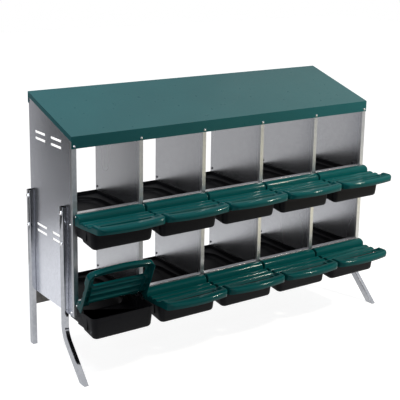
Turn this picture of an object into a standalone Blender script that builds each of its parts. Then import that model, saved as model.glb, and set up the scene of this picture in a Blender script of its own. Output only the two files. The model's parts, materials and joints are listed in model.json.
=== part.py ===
"""Two-tier roll-out nest box: sheet-metal cabinet on tube legs, moulded pans with trays, hinged lids.

Units are metres. X runs across the box, Z is up and the front faces -Y. Depths (y) are first measured from
the front face of the posts, and one empty then moves the whole box so that its footprint is centred on the
origin.
"""
from math import acos, atan2, copysign, cos, hypot, pi, radians, sin, tan

import bmesh
import bpy
from mathutils import Vector

# Layout of the nests
BAYS = 5
BAY_PITCH = 0.300
TIERS = ("lower", "upper")
TIER_PITCH = 0.3535
LOWER_HINGE_Z = 0.2875
OPEN_LID = "lower_lid_1"
OPEN_ANGLE = radians(62)

# Gaps between pieces
SEAT_GAP = 0.0003
RUNNING_GAP = 0.0004
LID_TO_LID_GAP = 0.010
LID_TO_POST_GAP = 0.002
LID_TO_RIM_GAP = 0.001
LID_TO_TRAY_GAP = 0.0055
PAN_TO_SHEET_GAP = 0.0018
PAN_TO_POST_GAP = 0.0015
NECK_TO_POST_GAP = 0.004
PAN_TO_REAR_GAP = 0.010
RAIL_TO_REAR_GAP = 0.005
DISH_TO_RAIL_GAP = 0.0045
KNUCKLE_TO_EYE_GAP = 0.0075

# Cabinet sheet metal
SHEET = 0.0012
BOX_BOTTOM_Z = 0.235
BOX_DEPTH = 0.365
ROOF_FRONT_Z = 0.946
ROOF_REAR_Z = 1.063
FASCIA_HEIGHT = 0.047
REAR_FLANGE_HEIGHT = 0.046
SIDE_FLANGE_HEIGHT = 0.020
POST_WIDTH = 0.018
CORNER_POST_WIDTH = 0.020
POST_RETURN = 0.014
POST_TOP_CLEARANCE = 0.008
SILL_ABOVE_HINGE = 0.008
SILL_LIP = 0.011
SILL_DEPTH = 0.022

# Vent slots in the side panels
VENT_LENGTH = 0.096
VENT_WIDTH = 0.010
VENT_ROW_PITCH = 0.026
VENT_COLUMNS_Y = (0.129, 0.265)
VENT_ABOVE_HINGE = 0.218
VENT_TIER_RISE = 0.380
VENT_END_STEPS = 2

# Rear rails under the pans
RAIL_DEPTHS = {"lower": 0.022, "upper": 0.018}
RAIL_HEIGHTS = {"lower": 0.082, "upper": 0.040}

# Hinges
ROD_RADIUS = 0.003
ROD_END_INSET = 0.003
KNUCKLE_WALL = 0.0051
KNUCKLE_LENGTH = 0.026
EYE_WALL = 0.0021
EYE_THICKNESS = 0.007
EYE_FOOT_REAR = -0.008
EYE_FOOT_FRONT = -0.030
EYE_STEPS = 4
BORE_SIDES = 8

# Lid
LID_WALL = 0.0025
LID_STRIP = 0.030
HUMP_COVER = 0.0015
HUMP_CENTRE = (0.005, -0.007)
HUMP_HALF_LENGTH = 0.022
HUMP_START = radians(120)
HUMP_END = radians(10)
HUMP_STEPS = 4
WAVE_START = 0.033
WAVE_PITCH = 0.033
WAVE_COUNT = 2.5
WAVE_STEPS_EACH = 4
WAVE_VALLEY_Z = -0.0175
WAVE_RIDGE_Z = -0.010
RIM_PROFILE = ((0.146, -0.010), (0.159, -0.002), (0.173, -0.002), (0.185, -0.014))
RIM_BOW = 0.018
RIM_CORNER = 0.024
SKIRT_REAR_Z = -0.036
SKIRT_FRONT_Z = -0.027
RIM_BOTTOM_Z = -0.024
RIM_BOTTOM_BACK = 0.004

# Nest pan and tray, with heights from the hinge axis and depths behind it
PAN_WALL = 0.0025
LEDGE_DROP = 0.015
PAN_CUT_ABOVE = 0.030
DISH_HALF_WIDTH = 0.118
DISH_FRONT = 0.036
DISH_CORNER = 0.085
DISH_FILLET = 0.016
DISH_DRAFT = 0.004
DISH_FLOOR_Z = -0.074
DISH_FALL = 0.021
THROAT_FRONT = -0.006
THROAT_REAR = 0.080
THROAT_STEP = 0.0025
THROAT_FALL = 0.003
NECK_INSET = 0.0005
NECK_FRONT = -0.060
NECK_STEP = 0.0003
NECK_FALL = 0.0006
TRAY_FRONT = -0.1115
TRAY_REAR = -0.010
TRAY_STEP = 0.0302
TRAY_FALL = 0.013
TRAY_DRAFT = 0.0075
TRAY_CORNER = 0.020
TRAY_FILLET = 0.010
CORNER_STEPS = 2

# Legs
TUBE_WIDTH = 0.020
TUBE_DEPTH = 0.030
TUBE_WALL = 0.0015
LEG_TOP_Z = 0.665
FRONT_LEG_Y = 0.044
LEG_BEND_Z = 0.192
LEG_BEND_RADIUS = 0.100
LEG_BEND_ANGLE = radians(45)
LEG_BEND_STEPS = 6

# Leg bolts
BOLT_RADIUS = 0.004
BOLT_HEAD_RADIUS = 0.0075
BOLT_HEAD_HEIGHT = 0.005
BOLT_NUT_HEIGHT = 0.0065
BOLT_HEIGHTS = {"top": 0.642, "bottom": 0.520}
HEX_SIDES = 6

# Worked out from the sizes above
HALF_WIDTH = BAYS * BAY_PITCH / 2
ROOF_SLOPE = (ROOF_REAR_Z - ROOF_FRONT_Z) / BOX_DEPTH
CORNER_POST_OVERLAP = SHEET + SEAT_GAP
BORE_RADIUS = ROD_RADIUS + RUNNING_GAP
EYE_RADIUS = BORE_RADIUS + EYE_WALL
KNUCKLE_RADIUS = BORE_RADIUS + KNUCKLE_WALL
HUMP_TOP_Z = KNUCKLE_RADIUS + HUMP_COVER
HUMP_RISE = HUMP_TOP_Z - HUMP_CENTRE[1]
HINGE_AHEAD = HUMP_TOP_Z + LID_TO_POST_GAP
LID_HALF_WIDTH = (BAY_PITCH - LID_TO_LID_GAP) / 2
LID_REACH = RIM_PROFILE[-1][0] + RIM_BOW
RAIL_REAR_Y = BOX_DEPTH - RAIL_TO_REAR_GAP
RIM_Z = WAVE_VALLEY_Z - LID_WALL - LID_TO_RIM_GAP
LEDGE_Z = RIM_Z - LEDGE_DROP
LEDGE_FRONT = HINGE_AHEAD + POST_RETURN + PAN_TO_POST_GAP
PAN_HALF_WIDTH = BAY_PITCH / 2 - SHEET - PAN_TO_SHEET_GAP
PAN_REAR = HINGE_AHEAD + BOX_DEPTH - PAN_TO_REAR_GAP
DISH_REAR = HINGE_AHEAD + RAIL_REAR_Y - max(RAIL_DEPTHS.values()) - DISH_TO_RAIL_GAP - PAN_WALL
THROAT_HALF_WIDTH = BAY_PITCH / 2 + CORNER_POST_OVERLAP - CORNER_POST_WIDTH - PAN_TO_POST_GAP - PAN_WALL
TRAY_HALF_WIDTH = LID_HALF_WIDTH - LID_WALL - LID_TO_TRAY_GAP - PAN_WALL
NECK_HALF_WIDTH = TRAY_HALF_WIDTH - NECK_INSET
NECK_REAR = HINGE_AHEAD - NECK_TO_POST_GAP - PAN_WALL
EYE_OUTER_X = NECK_HALF_WIDTH + PAN_WALL
KNUCKLE_X = EYE_OUTER_X - EYE_THICKNESS - KNUCKLE_TO_EYE_GAP - KNUCKLE_LENGTH / 2
REAR_LEG_Y = BOX_DEPTH - TUBE_DEPTH
ROOF_BACK = BOX_DEPTH + SEAT_GAP + SHEET
CENTRE_Y = (ROOF_BACK - HINGE_AHEAD - LID_REACH) / 2


def bay_x(bay):
    """Centre of a bay, counted from 1 at the left."""
    return (bay - (BAYS + 1) / 2) * BAY_PITCH


def hinge_z(tier):
    return LOWER_HINGE_Z + TIERS.index(tier) * TIER_PITCH


def roof_top_z(y):
    return ROOF_FRONT_Z + ROOF_SLOPE * y


def roof_underside_z(y):
    return roof_top_z(y) - SHEET * hypot(1, ROOF_SLOPE)


# Modelling helpers

def make_material(name, colour, roughness, metallic):
    """A Principled material with the part's colour and finish."""
    material = bpy.data.materials.new(name)
    material.use_nodes = True
    shader = material.node_tree.nodes["Principled BSDF"]
    shader.inputs["Base Color"].default_value = (*colour, 1)
    shader.inputs["Roughness"].default_value = roughness
    shader.inputs["Metallic"].default_value = metallic
    material.diffuse_color = (*colour, 1)
    return material


def object_from(bm, name, closed=True):
    """Turn a bmesh into a linked object."""
    if closed:
        bmesh.ops.recalc_face_normals(bm, faces=bm.faces)
    mesh = bpy.data.meshes.new(name)
    bm.to_mesh(mesh)
    bm.free()
    result = bpy.data.objects.new(name, mesh)
    bpy.context.collection.objects.link(result)
    return result


def extrude(bm, place, low, high):
    """Draw the flat faces of a bmesh out into a closed solid; place maps outline and extrusion values."""
    made = bmesh.ops.extrude_face_region(bm, geom=bm.faces[:])
    moved = [item for item in made["geom"] if isinstance(item, bmesh.types.BMVert)]
    shift = Vector(place(0, 0, high)) - Vector(place(0, 0, low))
    bmesh.ops.translate(bm, verts=moved, vec=shift)
    return bm


def prism(outline, place, low, high):
    """A closed solid from a flat outline."""
    bm = bmesh.new()
    first = bm.faces.new([bm.verts.new(place(a, b, low)) for a, b in outline])
    bmesh.ops.triangulate(bm, faces=[first])
    return extrude(bm, place, low, high)


def folded(outer, inner, place, low, high):
    """A closed solid from the end view of a folded sheet: its outer and inner faces, point for point."""
    bm = bmesh.new()
    outside = [bm.verts.new(place(a, b, low)) for a, b in outer]
    inside = [bm.verts.new(place(a, b, low)) for a, b in inner]
    for i in range(1, len(outside)):
        bm.faces.new((outside[i - 1], outside[i], inside[i], inside[i - 1]))
    return extrude(bm, place, low, high)


def along_x(y, z, x):
    return (x, y, z)


def along_z(x, y, z):
    return (x, y, z)


def box(low, high):
    """A closed box between two corners."""
    outline = ((low[0], low[1]), (high[0], low[1]), (high[0], high[1]), (low[0], high[1]))
    return prism(outline, along_z, low[2], high[2])


def circle(radius, y, z, sides):
    angles = [2 * pi * i / sides for i in range(sides)]
    return [(y + radius * cos(angle), z + radius * sin(angle)) for angle in angles]


def rod_along_x(radius, low_x, high_x, y, z, sides):
    return prism(circle(radius, y, z, sides), along_x, low_x, high_x)


def bake(target):
    """Give an object the mesh that its modifiers make."""
    graph = bpy.context.evaluated_depsgraph_get()
    mesh = bpy.data.meshes.new_from_object(target.evaluated_get(graph))
    target.modifiers.clear()
    target.data = mesh


def combine(target, tool_bm, operation):
    """Union with, or cut by, a closed solid."""
    tool = object_from(tool_bm, "tool")
    modifier = target.modifiers.new("combine", "BOOLEAN")
    modifier.operation = operation
    modifier.solver = "EXACT"
    modifier.object = tool
    bake(target)
    bpy.data.objects.remove(tool)


def finish(target, material, smooth_angle=None):
    """Give a piece its material, its shading and its place under the box."""
    target.data.materials.clear()
    target.data.materials.append(material)
    if smooth_angle:
        target.data.shade_smooth()
        target.data.set_sharp_from_angle(angle=smooth_angle)
    target.parent = BOX
    return target


def copy_of(source, name, location, rotation_x=0):
    """Another object with the same mesh."""
    result = bpy.data.objects.new(name, source.data)
    bpy.context.collection.objects.link(result)
    result.location = location
    result.rotation_euler.x = rotation_x
    result.parent = BOX
    return result


# Roof and cabinet

def make_roof():
    """One folded sheet: sloping top with a flange down each edge."""
    half = HALF_WIDTH + CORNER_POST_OVERLAP + SEAT_GAP + SHEET
    front = -SEAT_GAP - SHEET
    rear = ROOF_BACK
    bm = bmesh.new()

    def row(y, drop):
        return [bm.verts.new((x, y, roof_top_z(y) - drop)) for x in (-half, half)]

    top_front = row(front, 0)
    top_rear = row(rear, 0)
    fascia = row(front, FASCIA_HEIGHT)
    tail = row(rear, REAR_FLANGE_HEIGHT)
    side_front = row(front, SIDE_FLANGE_HEIGHT)
    side_rear = row(rear, SIDE_FLANGE_HEIGHT)
    bm.faces.new((top_front[0], top_front[1], top_rear[1], top_rear[0]))
    bm.faces.new((fascia[0], fascia[1], side_front[1], top_front[1], top_front[0], side_front[0]))
    bm.faces.new((tail[1], tail[0], side_rear[0], top_rear[0], top_rear[1], side_rear[1]))
    bm.faces.new((side_front[0], top_front[0], top_rear[0], side_rear[0]))
    bm.faces.new((side_front[1], side_rear[1], top_rear[1], top_front[1]))
    roof = object_from(bm, "roof", closed=False)
    fold = roof.modifiers.new("sheet", "SOLIDIFY")
    fold.solidify_mode = "NON_MANIFOLD"
    fold.nonmanifold_thickness_mode = "CONSTRAINTS"
    fold.thickness = SHEET
    fold.offset = -1
    bake(roof)
    return finish(roof, GREEN_PAINT)


def stadium(y, z, length, width, steps):
    """A slot outline with round ends."""
    radius = width / 2
    run = length / 2 - radius
    points = []
    for side in (1, -1):
        for i in range(steps + 1):
            angle = side * pi / 2 - side * pi * i / steps
            points.append((y + side * run + radius * cos(angle), z + radius * sin(angle)))
    return points


def sheet_outline(rear_cut):
    """Side view of a divider or side panel under the roof; rear_cut holds the notched rear edge."""
    front = SHEET + SEAT_GAP
    top_front = roof_underside_z(front) - SEAT_GAP
    top_rear = roof_underside_z(BOX_DEPTH) - SEAT_GAP
    return [(front, BOX_BOTTOM_Z), *rear_cut, (BOX_DEPTH, top_rear), (front, top_front)]


def make_side_panel(name, side):
    """A side sheet with vent slots and the holes for the leg bolts."""
    outline = sheet_outline([(BOX_DEPTH, BOX_BOTTOM_Z)])
    inner, outer = sorted((side * HALF_WIDTH, side * (HALF_WIDTH - SHEET)))
    panel = object_from(prism(outline, along_x, inner, outer), name)
    for tier in TIERS:
        low_row = LOWER_HINGE_Z + VENT_ABOVE_HINGE + TIERS.index(tier) * VENT_TIER_RISE
        for column in VENT_COLUMNS_Y:
            for row_z in (low_row, low_row + VENT_ROW_PITCH):
                slot = stadium(column, row_z, VENT_LENGTH, VENT_WIDTH, VENT_END_STEPS)
                combine(panel, prism(slot, along_x, inner - SHEET, outer + SHEET), "DIFFERENCE")
    for y, z in bolt_places():
        hole = rod_along_x(BOLT_RADIUS + RUNNING_GAP, inner - SHEET, outer + SHEET, y, z, BORE_SIDES)
        combine(panel, hole, "DIFFERENCE")
    return finish(panel, GALVANISED)


def rail_top_z(tier):
    return hinge_z(tier) + LEDGE_Z - PAN_WALL - SEAT_GAP


def make_divider(name, x):
    """A plain sheet between two bays, notched at the rear where the rails pass."""
    rear_cut = []
    for tier in TIERS:
        notch_front = RAIL_REAR_Y - RAIL_DEPTHS[tier] - RUNNING_GAP
        notch_top = rail_top_z(tier) + RUNNING_GAP
        notch_bottom = max(rail_top_z(tier) - RAIL_HEIGHTS[tier] - RUNNING_GAP, BOX_BOTTOM_Z)
        if notch_bottom > BOX_BOTTOM_Z:
            rear_cut.append((BOX_DEPTH, notch_bottom))
        rear_cut += [(notch_front, notch_bottom), (notch_front, notch_top), (BOX_DEPTH, notch_top)]
    sheet = prism(sheet_outline(rear_cut), along_x, x - SHEET / 2, x + SHEET / 2)
    return finish(object_from(sheet, name), GALVANISED)


def post_span(index):
    """Left and right faces of a post, counted from 0 at the left."""
    centre = index * BAY_PITCH - HALF_WIDTH
    if index == 0:
        return (-HALF_WIDTH - CORNER_POST_OVERLAP, -HALF_WIDTH - CORNER_POST_OVERLAP + CORNER_POST_WIDTH)
    if index == BAYS:
        return (HALF_WIDTH + CORNER_POST_OVERLAP - CORNER_POST_WIDTH, HALF_WIDTH + CORNER_POST_OVERLAP)
    return (centre - POST_WIDTH / 2, centre + POST_WIDTH / 2)


def make_post(name, index):
    """A folded channel, open to the rear, over the front edge of a sheet."""
    left, right = post_span(index)
    outer = ((left, POST_RETURN), (left, 0), (right, 0), (right, POST_RETURN))
    inner_left = left + SHEET
    inner_right = right - SHEET
    inner = ((inner_left, POST_RETURN), (inner_left, SHEET), (inner_right, SHEET), (inner_right, POST_RETURN))
    top = ROOF_FRONT_Z - POST_TOP_CLEARANCE
    return finish(object_from(folded(outer, inner, along_z, BOX_BOTTOM_Z, top), name), GALVANISED)


def make_sill(name, tier, bay):
    """A folded strip between two posts: a front lip and a flat top."""
    left = post_span(bay - 1)[1] + SEAT_GAP
    right = post_span(bay)[0] - SEAT_GAP
    high = hinge_z(tier) + SILL_ABOVE_HINGE
    low = high - SILL_LIP
    outer = ((0, low), (0, high), (SILL_DEPTH, high))
    inner = ((SHEET, low), (SHEET, high - SHEET), (SILL_DEPTH, high - SHEET))
    return finish(object_from(folded(outer, inner, along_x, left, right), name), GALVANISED)


def make_rail(name, tier):
    """A rear angle under the pans of one tier."""
    half = HALF_WIDTH - SHEET - SEAT_GAP
    high = rail_top_z(tier)
    low = high - RAIL_HEIGHTS[tier]
    front = RAIL_REAR_Y - RAIL_DEPTHS[tier]
    outer = ((RAIL_REAR_Y, low), (RAIL_REAR_Y, high), (front, high))
    inner = ((RAIL_REAR_Y - SHEET, low), (RAIL_REAR_Y - SHEET, high - SHEET), (front, high - SHEET))
    return finish(object_from(folded(outer, inner, along_x, -half, half), name), GALVANISED)


# Nest pan with its tray, in one moulding. Its origin lies on the hinge axis, at the middle of the bay.

class Tub:
    """The hollow of one part of the moulding: round corners, drafted wall and filleted, sloping floor."""

    def __init__(self, half_width, front, rear, floor_z, fall, draft=0, corner=0, fillet=0):
        self.half_width = half_width
        self.front = front
        self.rear = rear
        self.floor_z = floor_z
        self.slope = fall / (rear - front)
        self.draft = draft
        self.corner = corner
        self.fillet = fillet

    def solid(self, grow, top):
        """The hollow grown by a wall, as a closed solid up to a level top."""
        rises = [None, self.fillet, 0] if self.fillet else [None, 0]
        bm = bmesh.new()
        loops = []
        for rise in rises:
            inset = 0 if rise is None else self.draft + self.fillet - rise
            loop = []
            for x, y in self.outline(grow, inset):
                floor = self.floor_z + self.slope * (y - self.front) - grow
                loop.append(bm.verts.new((x, y, top if rise is None else floor + rise)))
            loops.append(loop)
        bm.faces.new(loops[0])
        bm.faces.new(loops[-1])
        for upper, lower in zip(loops, loops[1:]):
            for i in range(len(upper)):
                bm.faces.new((upper[i - 1], upper[i], lower[i], lower[i - 1]))
        return bm

    def outline(self, grow, inset):
        """Plan of the hollow, grown by a wall and drawn in at the sides and front."""
        half = self.half_width + grow - inset
        front = self.front - grow + inset
        rear = self.rear + grow - max(inset - self.draft, 0)
        if not self.corner:
            return [(half, rear), (-half, rear), (-half, front), (half, front)]
        radius = self.corner + grow - inset
        points = []
        for quarter, (side, end) in enumerate(((half, rear), (-half, rear), (-half, front), (half, front))):
            centre_x = side - copysign(radius, side)
            centre_y = end - radius if end == rear else end + radius
            for i in range(CORNER_STEPS + 1):
                angle = pi / 2 * (quarter + i / CORNER_STEPS)
                points.append((centre_x + radius * cos(angle), centre_y + radius * sin(angle)))
        return points


DISH = Tub(
    DISH_HALF_WIDTH, DISH_FRONT, DISH_REAR, DISH_FLOOR_Z, DISH_FALL, DISH_DRAFT, DISH_CORNER, DISH_FILLET)
THROAT_FLOOR_Z = DISH_FLOOR_Z - THROAT_STEP
THROAT = Tub(THROAT_HALF_WIDTH, THROAT_FRONT, THROAT_REAR, THROAT_FLOOR_Z, THROAT_FALL)
NECK_FLOOR_Z = THROAT_FLOOR_Z - NECK_STEP
NECK = Tub(NECK_HALF_WIDTH, NECK_FRONT, NECK_REAR, NECK_FLOOR_Z, NECK_FALL)
TRAY_FLOOR_Z = NECK_FLOOR_Z - TRAY_STEP
TRAY = Tub(
    TRAY_HALF_WIDTH, TRAY_FRONT, TRAY_REAR, TRAY_FLOOR_Z, TRAY_FALL, TRAY_DRAFT, TRAY_CORNER, TRAY_FILLET)


def eye_outline():
    """Side view of a hinge eye that leans forward to its foot on the tray wall."""
    foot_z = RIM_Z - 2 * PAN_WALL

    def tangent(y, side):
        return atan2(foot_z, y) + side * acos(EYE_RADIUS / hypot(y, foot_z))

    start = tangent(EYE_FOOT_REAR, 1)
    stop = tangent(EYE_FOOT_FRONT, -1) + 2 * pi
    angles = [start + (stop - start) * i / EYE_STEPS for i in range(EYE_STEPS + 1)]
    arc = [(EYE_RADIUS * cos(angle), EYE_RADIUS * sin(angle)) for angle in angles]
    return [(EYE_FOOT_REAR, foot_z), *arc, (EYE_FOOT_FRONT, foot_z)]


def make_pan_mesh():
    """Ledge with an upstand round it, sunk dish, throat under the sill, tray and hinge eyes."""
    low = (-PAN_HALF_WIDTH, LEDGE_FRONT, LEDGE_Z - PAN_WALL)
    high = (PAN_HALF_WIDTH, PAN_REAR, RIM_Z)
    pan = object_from(box(low, high), "pan")
    hollows = (DISH, THROAT, NECK, TRAY)
    for hollow in hollows:
        top = LEDGE_Z - PAN_WALL / 2 if hollow is DISH else RIM_Z
        combine(pan, hollow.solid(PAN_WALL, top), "UNION")
    recess_low = (-PAN_HALF_WIDTH + PAN_WALL, LEDGE_FRONT - PAN_WALL, LEDGE_Z)
    recess_high = (PAN_HALF_WIDTH - PAN_WALL, PAN_REAR - PAN_WALL, PAN_CUT_ABOVE)
    combine(pan, box(recess_low, recess_high), "DIFFERENCE")
    for hollow in hollows:
        combine(pan, hollow.solid(0, PAN_CUT_ABOVE), "DIFFERENCE")
    for left in (-EYE_OUTER_X, EYE_OUTER_X - EYE_THICKNESS):
        combine(pan, prism(eye_outline(), along_x, left, left + EYE_THICKNESS), "UNION")
    combine(pan, rod_along_x(BORE_RADIUS, -BAY_PITCH / 2, BAY_PITCH / 2, 0, 0, BORE_SIDES), "DIFFERENCE")
    return finish(pan, BLACK_PLASTIC, radians(40))


# Lid. Its origin lies on the hinge axis, at the middle of the bay. Reach runs forward from the axis.

def lid_profile():
    """Reach and height of the lid's top from the hinge hump to the last ridge before the finger slot."""
    points = []
    for i in range(HUMP_STEPS + 1):
        angle = HUMP_START + (HUMP_END - HUMP_START) * i / HUMP_STEPS
        reach = HUMP_CENTRE[0] + HUMP_HALF_LENGTH * cos(angle)
        points.append((reach, HUMP_CENTRE[1] + HUMP_RISE * sin(angle)))
    middle = (WAVE_RIDGE_Z + WAVE_VALLEY_Z) / 2
    swing = (WAVE_RIDGE_Z - WAVE_VALLEY_Z) / 2
    for i in range(int(WAVE_COUNT * WAVE_STEPS_EACH) + 1):
        turn = i / WAVE_STEPS_EACH
        points.append((WAVE_START + turn * WAVE_PITCH, middle - swing * cos(2 * pi * turn)))
    return points


def rim_reach(reach, x):
    """Reach of a rim row at x: bowed forward in the middle and rounded off at the corners."""
    start = WAVE_START + WAVE_COUNT * WAVE_PITCH
    share = (reach - start) / (RIM_PROFILE[-1][0] - start)
    bow = RIM_BOW * (1 - (x / LID_HALF_WIDTH) ** 2)
    beyond = min(max(abs(x) - (LID_HALF_WIDTH - RIM_CORNER), 0), RIM_CORNER)
    drop = RIM_CORNER - (RIM_CORNER ** 2 - beyond ** 2) ** 0.5
    return reach + share * (bow - drop)


def make_lid_mesh():
    """A ribbed sheet with a skirt, a finger slot and a bowed rim, given a wall, with two hinge knuckles."""
    bm = bmesh.new()
    strip = LID_HALF_WIDTH - LID_STRIP
    ends = (-LID_HALF_WIDTH, LID_HALF_WIDTH)
    rows = [[bm.verts.new((x, -reach, z)) for x in ends] for reach, z in lid_profile()]
    slot_edge = [bm.verts.new((x, *rows[-1][0].co.yz)) for x in (-strip, strip)]
    rows[-1] = [rows[-1][0], *slot_edge, rows[-1][1]]
    for near, far in zip(rows, rows[1:]):
        bm.faces.new((near[0], *far, near[-1]))
    corner = LID_HALF_WIDTH - RIM_CORNER / 3
    rim_columns = (-LID_HALF_WIDTH, -corner, -strip, -strip / 2, 0, strip / 2, strip, corner, LID_HALF_WIDTH)
    rims = [[bm.verts.new((x, -rim_reach(reach, x), z)) for x in rim_columns] for reach, z in RIM_PROFILE]
    bm.faces.new((rows[-1][0], *rims[0][:3], slot_edge[0]))
    bm.faces.new((slot_edge[1], *rims[0][-3:], rows[-1][-1]))
    for near, far in zip(rims, rims[1:]):
        for i in range(len(rim_columns) - 1):
            bm.faces.new((near[i], far[i], far[i + 1], near[i + 1]))
    hem = [bm.verts.new(hem_point(vertex.co)) for vertex in rims[-1]]
    for i in range(len(hem) - 1):
        bm.faces.new((rims[-1][i], hem[i], hem[i + 1], rims[-1][i + 1]))
    for end in (0, -1):
        border = [row[end] for row in rows + rims]
        rear_hem = bm.verts.new((border[0].co.x, border[0].co.y, SKIRT_REAR_Z))
        skirt = bm.faces.new((*border, hem[end], rear_hem))
        if end == 0:
            skirt.normal_flip()
    lid = object_from(bm, "lid", closed=False)
    wall = lid.modifiers.new("wall", "SOLIDIFY")
    wall.thickness = LID_WALL
    wall.offset = -1
    wall.use_even_offset = True
    bake(lid)
    for centre in (-KNUCKLE_X, KNUCKLE_X):
        left = centre - KNUCKLE_LENGTH / 2
        knuckle = rod_along_x(KNUCKLE_RADIUS, left, left + KNUCKLE_LENGTH, 0, 0, BORE_SIDES)
        combine(lid, knuckle, "UNION")
    combine(lid, rod_along_x(BORE_RADIUS, -BAY_PITCH / 2, BAY_PITCH / 2, 0, 0, BORE_SIDES), "DIFFERENCE")
    return finish(lid, GREEN_PLASTIC, radians(50))


def hem_point(nose):
    """Lower edge of the rim below a point on its nose, drawn back a little, less so at the corners."""
    share = (-nose.y - RIM_PROFILE[0][0]) / (LID_REACH - RIM_PROFILE[0][0])
    z = SKIRT_FRONT_Z + (RIM_BOTTOM_Z - SKIRT_FRONT_Z) * share
    return (nose.x, nose.y + RIM_BOTTOM_BACK * share, z)


# Hinge rods, legs and bolts

def make_rod(name, tier):
    half = HALF_WIDTH - ROD_END_INSET
    rod = object_from(rod_along_x(ROD_RADIUS, -half, half, -HINGE_AHEAD, hinge_z(tier), BORE_SIDES), name)
    return finish(rod, BRIGHT_STEEL, radians(40))


def bolt_places():
    middles = (FRONT_LEG_Y + TUBE_DEPTH / 2, REAR_LEG_Y + TUBE_DEPTH / 2)
    return [(y, z) for y in middles for z in BOLT_HEIGHTS.values()]


def leg_edge(offset, bent, top, bottom):
    """Side view of one face of a leg, from top to bottom; offset runs rearward from the middle line."""
    if not bent:
        middle = REAR_LEG_Y + TUBE_DEPTH / 2
        return [(middle + offset, top), (middle + offset, bottom)]
    middle = FRONT_LEG_Y + TUBE_DEPTH / 2
    radius = LEG_BEND_RADIUS + offset
    points = [(middle + offset, top)]
    for i in range(LEG_BEND_STEPS + 1):
        angle = LEG_BEND_ANGLE * i / LEG_BEND_STEPS
        points.append((middle - LEG_BEND_RADIUS + radius * cos(angle), LEG_BEND_Z - radius * sin(angle)))
    y, z = points[-1]
    points.append((y - (z - bottom) * tan(LEG_BEND_ANGLE), bottom))
    return points


def tube_rings(bm, bent, wall, low_x, high_x):
    """Rectangles along a leg, one at each station, drawn in by a wall."""
    half = TUBE_DEPTH / 2 - wall
    rear = leg_edge(half, bent, LEG_TOP_Z, 0)
    front = leg_edge(-half, bent, LEG_TOP_Z, 0)
    left = low_x + wall
    right = high_x - wall
    rings = []
    for back, fore in zip(rear, front):
        corners = ((left, *back), (right, *back), (right, *fore), (left, *fore))
        rings.append([bm.verts.new(corner) for corner in corners])
    return rings


def make_leg(name, side, bent):
    """Rectangular tube outside a side panel, open at both ends; a front leg bends forward to its foot."""
    inner = HALF_WIDTH + SEAT_GAP
    low_x, high_x = sorted((side * inner, side * (inner + TUBE_WIDTH)))
    bm = bmesh.new()
    outside = tube_rings(bm, bent, 0, low_x, high_x)
    inside = tube_rings(bm, bent, TUBE_WALL, low_x, high_x)
    around = list(zip(outside, outside[1:])) + list(zip(inside, inside[1:]))
    around += [(outside[0], inside[0]), (outside[-1], inside[-1])]
    for one, other in around:
        for i in range(4):
            bm.faces.new((one[i - 1], one[i], other[i], other[i - 1]))
    leg = object_from(bm, name)
    middle = (FRONT_LEG_Y if bent else REAR_LEG_Y) + TUBE_DEPTH / 2
    radius = BOLT_RADIUS + RUNNING_GAP
    for z in BOLT_HEIGHTS.values():
        hole = rod_along_x(radius, low_x - TUBE_WALL, high_x + TUBE_WALL, middle, z, BORE_SIDES)
        combine(leg, hole, "DIFFERENCE")
    return finish(leg, GALVANISED)


def make_bolt(name, side, bent, z):
    """Hexagon head outside the leg, shank through leg and panel, nut inside the panel."""
    y = (FRONT_LEG_Y if bent else REAR_LEG_Y) + TUBE_DEPTH / 2
    seat = HALF_WIDTH + TUBE_WIDTH + 2 * SEAT_GAP
    nut = HALF_WIDTH - SHEET - SEAT_GAP
    nut_end = nut - BOLT_NUT_HEIGHT
    stations = ((nut_end - SHEET, 0), (nut_end, 0), (nut_end, 1), (nut, 1), (nut, 0), (seat, 0), (seat, 1),
                (seat + BOLT_HEAD_HEIGHT, 1))
    bm = bmesh.new()
    loops = []
    for x, hexagonal in stations:
        radius = BOLT_HEAD_RADIUS if hexagonal else BOLT_RADIUS
        loops.append([bm.verts.new((side * x, *point)) for point in circle(radius, y, z, HEX_SIDES)])
    bm.faces.new(loops[0])
    bm.faces.new(loops[-1])
    for near, far in zip(loops, loops[1:]):
        for i in range(HEX_SIDES):
            bm.faces.new((near[i - 1], near[i], far[i], far[i - 1]))
    return finish(object_from(bm, name), BRIGHT_STEEL)


for old in list(bpy.data.objects):
    bpy.data.objects.remove(old)

GREEN_PAINT = make_material("green_paint", (0.008, 0.075, 0.070), 0.38, 0.0)
GREEN_PLASTIC = make_material("green_plastic", (0.004, 0.068, 0.062), 0.22, 0.0)
BLACK_PLASTIC = make_material("black_plastic", (0.010, 0.010, 0.012), 0.48, 0.0)
GALVANISED = make_material("galvanised_steel", (0.56, 0.58, 0.60), 0.28, 1.0)
BRIGHT_STEEL = make_material("bright_steel", (0.72, 0.72, 0.73), 0.20, 1.0)

BOX = bpy.data.objects.new("nest_box", None)
bpy.context.collection.objects.link(BOX)
BOX.location = (0, -CENTRE_Y, 0)

make_roof()
make_side_panel("left_side_panel", -1)
make_side_panel("right_side_panel", 1)
for number in range(1, BAYS):
    make_divider(f"divider_{number}", number * BAY_PITCH - HALF_WIDTH)
for number in range(BAYS + 1):
    make_post(f"front_post_{number + 1}", number)

pan_pattern = make_pan_mesh()
lid_pattern = make_lid_mesh()
for tier_name in TIERS:
    make_rail(f"{tier_name}_rear_rail", tier_name)
    make_rod(f"{tier_name}_hinge_rod", tier_name)
    for number in range(1, BAYS + 1):
        make_sill(f"{tier_name}_sill_{number}", tier_name, number)
        axis = (bay_x(number), -HINGE_AHEAD, hinge_z(tier_name))
        lid_name = f"{tier_name}_lid_{number}"
        copy_of(pan_pattern, f"{tier_name}_nest_pan_{number}", axis)
        copy_of(lid_pattern, lid_name, axis, -OPEN_ANGLE if lid_name == OPEN_LID else 0)
bpy.data.objects.remove(pan_pattern)
bpy.data.objects.remove(lid_pattern)

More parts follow.
